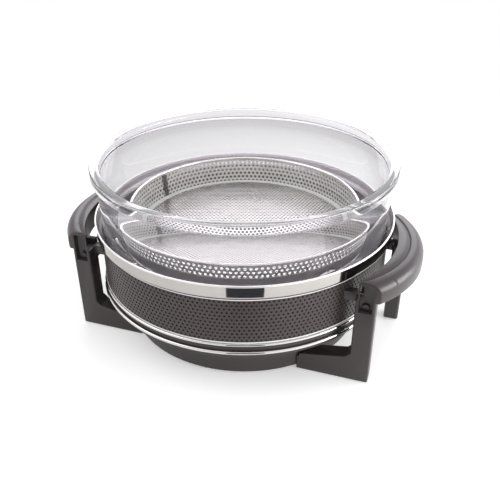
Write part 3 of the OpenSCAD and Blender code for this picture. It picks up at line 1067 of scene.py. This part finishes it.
@dataclass
class PolishedTray:
    """The steel collar and the polished pan that it holds."""

    sheet: float = 0.8 * MM
    collar_z: float = 121.2 * MM
    rim_z: float = 137 * MM
    guard_in: float = 165.03 * MM
    collar_out: float = 170.83 * MM
    bead: float = 1.1 * MM
    floor_z: float = 31.7 * MM

    def build(self, bowl: GlassBowl) -> None:
        """Builds the collar and the pan."""
        self.collar()
        self.pan(bowl)

    def collar(self) -> None:
        """Builds the collar with its rolled foot."""
        turn = self.collar_out - self.sheet - 2 * MM
        path = [
            (self.guard_in + 0.3 * MM, self.collar_z + self.sheet),
            *arc((turn, self.collar_z + self.sheet + 2 * MM), 2 * MM, -90, 0, 8),
            (self.collar_out - self.sheet, self.rim_z - 2 * self.bead - 0.1 * MM),
        ]
        outline = path + list(reversed(offset_path(path, self.sheet)))
        collar = lathe("steel_collar_ring", outline)
        STEEL.dress(collar)
        settle(collar, Body.BASE, Slot.STEEL, "steel_collar")

    def pan(self, bowl: GlassBowl) -> None:
        """Builds the pan, with painted light in the pale steel inside, dark behind, and with its rolled rim.

        Args:
            bowl: The bowl that the pan follows.
        """
        gap = 1.5 * MM

        def wall(z: float) -> float:
            """The bowl wall's radius at a height."""
            return bowl.wall_radius - (bowl.lip_z - z) * math.tan(math.radians(bowl.draft))

        low = self.collar_z - 4 * MM
        corners = [
            *bowl.dish(self.floor_z, wall(low) + gap, low, bowl.corner - 3 * MM, bowl.draft),
            (wall(self.collar_z) + gap + 0.1 * MM, self.collar_z + 0.5 * MM),
            (wall(self.collar_z) + gap + 1.5 * MM, self.collar_z + 3.5 * MM),
            (self.collar_out - 3.4 * MM, self.collar_z + 7 * MM),
            (self.collar_out - self.sheet - self.bead - 0.6 * MM, self.rim_z - 4 * MM),
            (self.collar_out - self.sheet - self.bead, self.rim_z - self.bead),
        ]
        path = corners[:20] + softened(corners[20:], 2.5 * MM)
        outer = offset_path(path, self.sheet)
        centre = (self.collar_out - self.sheet / 2, self.rim_z - self.bead)
        roll = arc(centre, self.bead, 170, -60, 14)
        outline = path[:-1] + roll + list(reversed(outer[:-1]))
        marks = [0] * (len(path) + len(roll) - 1) + [1] * len(outer)
        pan = lathe("polished_pan", outline, marks=marks)
        LIT_PAN_STEEL.dress(pan)
        pan.data.materials.append(PAN_BACK_AND_SHADE.material())
        settle(pan, Body.BASE, Slot.STEEL, "pan")


@dataclass
class Guard:
    """The punched black band with its bead wires."""

    inner: float = 165.03 * MM
    sheet: float = 0.8 * MM
    low: float = 65.6 * MM
    high: float = 118.6 * MM
    pitch: float = 4.8 * MM
    hole: float = 2.4 * MM
    rows: int = 12
    shoulder: float = 165.23 * MM
    head_bead: Point2 = (1.2 * MM, 119.9 * MM)
    foot_bead: Point2 = (1.5 * MM, 64.0 * MM)
    base_bead: Point2 = (1.8 * MM, 54.6 * MM)

    def build(self, punch: TreeMaker, wire: TreeMaker) -> None:
        """Builds the band and the three beads.

        Args:
            punch: The tree of punched walls.
            wire: The tree of round wires.
        """
        self.band(punch)
        for name, node, inner, (thick, height), finish in (
            ("guard_head_bead", "guard_top_bead", self.inner, self.head_bead, ENAMEL),
            ("guard_lower_bead", "guard_foot_bead", self.inner, self.foot_bead, CHROME),
            ("shoulder_bead", "base_bead", self.shoulder + 0.1 * MM, self.base_bead, CHROME),
        ):
            path = [circle_points(inner + thick, height, 240)]
            draw_wires(wire, name, node, Body.BASE, finish, path, thick, 16, True)

    def band(self, punch: TreeMaker) -> None:
        """Builds the punched band.

        Args:
            punch: The tree of punched walls.
        """
        mid = self.inner + self.sheet / 2
        columns = round(2 * math.pi * mid / self.pitch)
        row_h = self.pitch * math.sqrt(3) / 2
        lower = (self.low + self.high - self.rows * row_h) / 2
        upper = self.high - (lower - self.low)
        cell, middle = cell_edge(self.pitch, row_h), (self.pitch / 2, row_h / 2)
        band = punched_cell("punched_guard", cell, middle, self.hole, self.sheet)
        punch.run(
            band,
            ENAMEL,
            Columns=columns,
            Rows=self.rows,
            Pitch=self.pitch,
            Row_Height=row_h,
            Column_Angle=2 * math.pi / columns,
            Start_Angle=0.0,
            Lower_Radius=mid,
            Upper_Radius=mid,
            Lower_Height=lower,
            Upper_Height=upper,
        )
        join_ring(band, self.sheet, (mid, self.low), (mid, lower + 0.05 * MM))
        join_ring(band, self.sheet, (mid, upper - 0.05 * MM), (mid, self.high))
        # Painted shade: a thin near-black sheet just inside the band darkens what its holes show.
        back, gap = self.inner - 0.12 * MM, 0.2 * MM
        join_ring(band, 0.06 * MM, (back, self.low + gap), (back, self.high - gap), PAN_BACK_AND_SHADE)
        settle(band, Body.BASE, Slot.GUARD, "guard_band")


def cell_edge(pitch: float, row_h: float) -> list[Point2]:
    """Corners and edge middles of an upright punched cell, anticlockwise."""
    return [(x * pitch, 0.0) for x in (0.0, 0.5, 1.0)] + [(x * pitch, row_h) for x in (1.0, 0.5, 0.0)]


def join_ring(piece: Piece, sheet: float, foot: Point2, head: Point2, finish: Finish | None = None) -> None:
    """Adds a plain ring of sheet to a punched wall.

    Args:
        piece: The punched wall.
        sheet: The sheet's thickness; the ring is a hair thicker.
        foot: Radius and height of the ring's lower edge.
        head: Radius and height of its upper edge.
        finish: Its finish, where it isn't the wall's.
    """
    half = sheet / 2 + 0.02 * MM
    (low_r, low), (high_r, high) = foot, head
    outline = [(low_r - half, low), (low_r + half, low), (high_r + half, high), (high_r - half, high)]
    ring = lathe("plain_edge", outline)
    if finish:
        piece.data.materials.append(finish.material())
        number = len(piece.data.materials) - 1
        ring.data.polygons.foreach_set("material_index", [number] * len(ring.data.polygons))
    absorb(piece, ring)


def absorb(piece: Piece, ring: Piece) -> None:
    """Joins a ring's mesh into a piece.

    Args:
        piece: The piece.
        ring: The ring, which is removed.
    """
    shape = bmesh.new()
    shape.from_mesh(piece.data)
    shape.from_mesh(ring.data)
    shape.to_mesh(piece.data)
    shape.free()
    bpy.data.objects.remove(ring)
    finish_mesh(piece)


def circle_points(radius: float, height: float, count: int) -> list[Point3]:
    """Points of a level circle round the axis."""
    turns = [2 * math.pi * k / count for k in range(count)]
    return [(radius * math.cos(a), radius * math.sin(a), height) for a in turns]


def edge_path(name: str, paths: Iterable[Sequence[Sequence[float]]], closed: bool = False) -> Piece:
    """Makes a piece that holds only edges, one run for each path.

    Args:
        name: The piece's name.
        paths: The paths.
        closed: Whether each path joins its own start.

    Returns:
        The piece.
    """
    verts: list[Sequence[float]] = []
    edges: list[tuple[int, int]] = []
    for path in paths:
        first = len(verts)
        verts += list(path)
        edges += [(first + k, first + k + 1) for k in range(len(path) - 1)]
        if closed:
            edges.append((len(verts) - 1, first))
    return new_piece(name, verts, [], edges)


def draw_wires(
    tree: TreeMaker,
    name: str,
    node: str,
    body: Body,
    finish: Finish,
    paths: Sequence[Sequence[Sequence[float]]],
    thick: float,
    sides: int,
    closed: bool = False,
) -> None:
    """Draws a round wire along each path, as one piece.

    Args:
        tree: The tree that draws the wire.
        name: The piece's name.
        node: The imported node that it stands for.
        body: The body that it rides on.
        finish: Its finish.
        paths: The wires' paths.
        thick: The wire's radius.
        sides: Sides of the wire's section.
        closed: Whether each path joins its own start.
    """
    piece = edge_path(name, paths, closed)
    tree.run(piece, finish, Wire_Radius=thick, Wire_Sides=sides)
    settle(piece, body, finish.slot, node)


@dataclass
class WireRack:
    """The chromed rack under the basket."""

    wire: float = 2 * MM
    cross: float = 1.5 * MM
    hoop_radius: float = field(init=False)
    hoop_z: float = field(init=False)
    grid_z: float = 103.9 * MM
    foot_z: float = 42.8 * MM
    foot_radius: float = 98 * MM
    spread: float = 15 * MM
    crosses: int = 9
    cross_turn: float = 18.6
    leg_start: float = 41.0
    loops: tuple[float, ...] = (-34.0, 86.0, 206.0)
    loop_height: float = 12 * MM
    loop_width: float = 24 * MM

    def build(self, tree: TreeMaker) -> None:
        """Builds the hoop, grid, legs and loops.

        Args:
            tree: The tree of round wires.
        """
        low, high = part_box("rack_hoop")
        self.hoop_radius = high.x - self.wire
        self.hoop_z = (low.z + high.z) / 2
        hoop = [circle_points(self.hoop_radius, self.hoop_z, 200)]
        legs = [self.leg_path(math.radians(self.leg_start + 90 * i)) for i in range(4)]
        loops = [self.loop_path(math.radians(a)) for a in self.loops]
        for name, node, paths, thick, sides, closed in (
            ("hoop_wire", "rack_hoop", hoop, self.wire, 14, True),
            ("cross_wires", "rack_grid", self.grid_paths(), self.cross, 12, False),
            ("leg_wires", "rack_legs", legs, self.wire, 14, False),
            ("lifting_loops", "rack_loops", loops, self.wire, 14, False),
        ):
            draw_wires(tree, name, node, Body.RACK, CHROME, paths, thick, sides, closed)

    def grid_paths(self) -> list[list[Vector]]:
        """Lays straight wires under the hoop.

        Returns:
            One path for each wire.
        """
        pitch = 2 * self.hoop_radius / (self.crosses + 1)
        made = []
        for i in range(1, self.crosses + 1):
            y = pitch * i - self.hoop_radius
            half = math.sqrt((self.hoop_radius - 1 * MM) ** 2 - (abs(y) + self.cross) ** 2)
            wire = [(half * (2 * k / 12 - 1), y, self.grid_z) for k in range(13)]
            made.append(self.turned(wire, math.radians(self.cross_turn)))
        return made

    @staticmethod
    def turned(points: Iterable[Sequence[float]], angle: float) -> list[Vector]:
        """Points turned round the axis."""
        c, s = math.cos(angle), math.sin(angle)
        return [Vector((x * c - y * s, x * s + y * c, z)) for x, y, z in points]

    def leg_path(self, angle: float) -> list[Vector]:
        """Bends a leg: two struts and the run between their feet.

        Args:
            angle: The leg's bearing in radians.

        Returns:
            The wire's path.
        """
        top = self.hoop_z - self.wire * 0.7
        reach = self.hoop_radius + self.wire * 1.7 + 0.1 * MM
        inner = self.spread - 3 * MM
        points = [
            (reach, self.spread, top),
            (self.foot_radius, inner, self.foot_z),
            (self.foot_radius, -inner, self.foot_z),
            (reach, -self.spread, top),
        ]
        return self.turned(softened(points, 7 * MM, 6), angle)

    def loop_path(self, angle: float) -> list[Vector]:
        """Bends a lifting loop that leans outwards.

        Args:
            angle: The loop's bearing in radians.

        Returns:
            The wire's path.
        """
        foot = self.hoop_radius + 2 * self.wire + 0.1 * MM
        reach = foot + self.loop_height * math.tan(math.radians(30))
        half, top = self.loop_width / 2, self.hoop_z + self.loop_height
        points = [
            (foot, -half, self.hoop_z),
            (reach, 4 * MM - half, top),
            (reach, half - 4 * MM, top),
            (foot, half, self.hoop_z),
        ]
        return self.turned(softened(points, 5 * MM, 6), angle)


@dataclass
class Basket:
    """The punched steel basket with its wired rim."""

    low_z: float = 109.8 * MM
    net_top: float = 140.8 * MM
    rim_radius: float = 131.3 * MM
    bead: float = 1.7 * MM
    draft: float = 7.5
    sheet: float = 0.7 * MM
    hem: float = 16 * MM
    floor_z: float = 112.3 * MM
    pitch: float = 5.6 * MM
    hole: float = 3.4 * MM
    rows: int = 6
    floor_pitch: float = 4.7 * MM
    floor_hole: float = 2.9 * MM
    floor_turn: float = 18.6
    seam: float = 161.0
    seam_width: float = 8 * MM

    def radius(self, z: float) -> float:
        """The wall's inner radius at a height."""
        return self.rim_radius - (self.net_top - z) * math.tan(math.radians(self.draft))

    def build(self, punch: TreeMaker, disc: TreeMaker, wire: TreeMaker) -> None:
        """Builds the wall, hem, floor, rim and seam.

        Args:
            punch: The tree of punched walls.
            disc: The tree of punched discs.
            wire: The tree of round wires.
        """
        self.wall(punch, "punched_basket_wall", 0.0, 360.0, self.sheet / 2, PUNCHED, "basket_wall")
        degrees = math.degrees(self.seam_width / self.rim_radius)
        start, inside = self.seam - degrees / 2, -self.sheet / 2 - 0.1 * MM
        self.wall(punch, "basket_seam_strip", start, degrees, inside, SEAM, "basket_seam", 2)
        self.hem_band()
        self.floor(disc)
        rim = [circle_points(self.rim_radius, self.net_top + 0.1 * MM + self.bead, 240)]
        draw_wires(wire, "basket_rim_wire", "basket_rim", Body.BASKET, CHROME, rim, self.bead, 18, True)

    def wall(
        self,
        punch: TreeMaker,
        name: str,
        start: float,
        sweep: float,
        middle: float,
        finish: Finish,
        node: str,
        finer: int = 1,
    ) -> None:
        """Builds a punched wall over a sweep of the circle.

        Args:
            punch: The tree that lays the cells.
            name: The piece's name.
            start: First angle in degrees.
            sweep: How far round it goes, in degrees.
            middle: The sheet's middle, out from the wall's inner face.
            finish: Its finish.
            node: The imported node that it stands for.
            finer: How many times finer the holes are than the wall's.
        """
        pitch, hole, rows = self.pitch / finer, self.hole / finer, self.rows * finer
        whole = sweep > 359
        low = self.low_z + 0.8 * MM if whole else self.floor_z + self.sheet + 0.3 * MM
        columns = round(math.radians(sweep) * self.rim_radius / pitch)
        row_h = (self.net_top - low - 0.6 * MM) / rows
        piece = punched_cell(name, cell_edge(pitch, row_h), (pitch / 2, row_h / 2), hole, self.sheet)
        top = self.net_top - 0.6 * MM
        punch.run(
            piece,
            finish,
            Columns=columns,
            Rows=rows,
            Pitch=pitch,
            Row_Height=row_h,
            Column_Angle=math.radians(sweep) / columns * (1.0 if whole else 0.85),
            Start_Angle=math.radians(start),
            Lower_Radius=self.radius(low) + middle,
            Upper_Radius=self.radius(top) + middle,
            Lower_Height=low,
            Upper_Height=top,
        )
        if whole:
            foot = (self.radius(self.low_z) + middle, self.low_z)
            head = (self.radius(self.net_top) + middle, self.net_top)
            lap = 0.05 * MM
            join_ring(piece, self.sheet, foot, (self.radius(low) + middle, low + lap))
            join_ring(piece, self.sheet, (self.radius(top) + middle, top - lap), head)
        settle(piece, Body.BASKET, Slot.BASKET, node)

    def hem_band(self) -> None:
        """Builds the plain hem outside the basket's foot; its inner face takes the shaded steel, as painted
        shade where the wall's holes show it.
        """
        gap = self.sheet + 0.1 * MM
        low, high = self.low_z, self.low_z + self.hem
        path = [(self.radius(low) + gap + self.sheet, low), (self.radius(high) + gap + self.sheet, high)]
        back = [(self.radius(high) + gap, high), (self.radius(low) + gap, low)]
        outline = softened(path + back, 0.3 * MM, 3, closed=True)
        middle = self.radius(low + self.hem / 2) + gap + self.sheet / 2
        slope = math.tan(math.radians(self.draft))
        marks = []
        for (r0, z0), (r1, z1) in zip(outline, outline[1:] + outline[:1]):
            inside = (r0 + r1) / 2 - ((z0 + z1) / 2 - low - self.hem / 2) * slope < middle - self.sheet * 0.4
            marks.append(1 if inside and abs(z1 - z0) > self.hem / 2 else 0)
        hem = lathe("basket_hem_band", outline, marks=marks)
        PUNCHED.dress(hem)
        hem.data.materials.append(SHADED.material())
        settle(hem, Body.BASKET, Slot.BASKET, "basket_hem")

    def floor(self, disc: TreeMaker) -> None:
        """Builds the punched floor with its plain edge.

        Args:
            disc: The tree of punched discs.
        """
        edge = self.radius(self.floor_z) - 0.1 * MM
        net = edge - 5.5 * MM
        cell = arc((0.0, 0.0), self.floor_pitch / math.sqrt(3), 30, 330, 5)
        piece = punched_cell("punched_basket_floor", cell, (0.0, 0.0), self.floor_hole, self.sheet)
        middle = self.floor_z + self.sheet / 2
        # The floor takes the darker copy of the steel, which holds painted shade.
        disc.run(
            piece,
            SHADED_FLOOR_NET,
            Cells_Across=2 * math.ceil(edge / (self.floor_pitch * 0.866)) + 3,
            Pitch=self.floor_pitch,
            Disc_Radius=net,
            Height=middle,
        )
        piece.data.transform(Matrix.Rotation(math.radians(self.floor_turn), 4, "Z"))
        half, inner = self.sheet / 2 + 0.03 * MM, net - 1.5 * MM
        low, high = middle - half, middle + half
        ring = lathe("floor_edge", [(inner, low), (edge, low), (edge, high), (inner, high)])
        absorb(piece, ring)
        settle(piece, Body.BASKET, Slot.BASKET, "basket_floor")


@dataclass
class Stand:
    """The base, the legs and the handles, and the small parts that hold them."""

    nodes: dict[str, Piece]
    mouldings: tuple[tuple[str, float], ...] = (
        ("base_ring", 0.5 * MM),
        ("front_left_leg", 0.8 * MM),
        ("front_right_leg", 0.8 * MM),
        ("rear_left_leg", 0.7 * MM),
        ("rear_right_leg", 0.7 * MM),
        ("left_handle", 0.7 * MM),
        ("right_handle", 0.7 * MM),
        ("front_left_lug", 0.3 * MM),
        ("front_right_lug", 0.3 * MM),
        ("rear_left_lug", 0.3 * MM),
        ("rear_right_lug", 0.3 * MM),
    )
    kept: tuple[tuple[str, Finish], ...] = (
        ("base_cover", PLASTIC),
        ("base_feet", RUBBER),
        ("leg_feet", RUBBER),
        ("pan_pads", SILICONE),
        ("cover_screws", ZINC),
        ("leg_screws", ZINC),
        ("handle_screws", BLACKED),
        ("lug_screws", ZINC),
        ("guard_rivets", ZINC),
    )
    joint_y: float = -84 * MM

    def build(self) -> None:
        """Refines the mouldings and dresses the small parts."""
        for name, edge in self.mouldings:
            joint = self.joint_y if "handle" in name or name.startswith("front") else 0.0
            piece = refined(self.nodes[name], f"{name}_moulding", edge, PLASTIC, joint)
            settle(piece, Body.BASE, Slot.PLASTIC, name)
        for name, finish in self.kept:
            finish.dress(self.nodes[name])
            LOG.info("%s keeps its packed shape in %s", name, finish.name)


def main() -> None:
    """Builds the stage and every sub-assembly."""
    logging.basicConfig(level=logging.INFO, format="%(name)s: %(message)s")
    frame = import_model()
    bpy.context.scene.view_settings.view_transform = "Standard"
    Studio().build()
    wire, punch, disc = wire_tree(), punched_wall_tree(), punched_disc_tree()
    bowl = GlassBowl()
    bowl.build()
    PolishedTray().build(bowl)
    Guard().build(punch, wire)
    WireRack().build(wire)
    Basket().build(punch, disc, wire)
    Stand(frame["nodes"]).build()


if __name__ == "__main__":
    main()
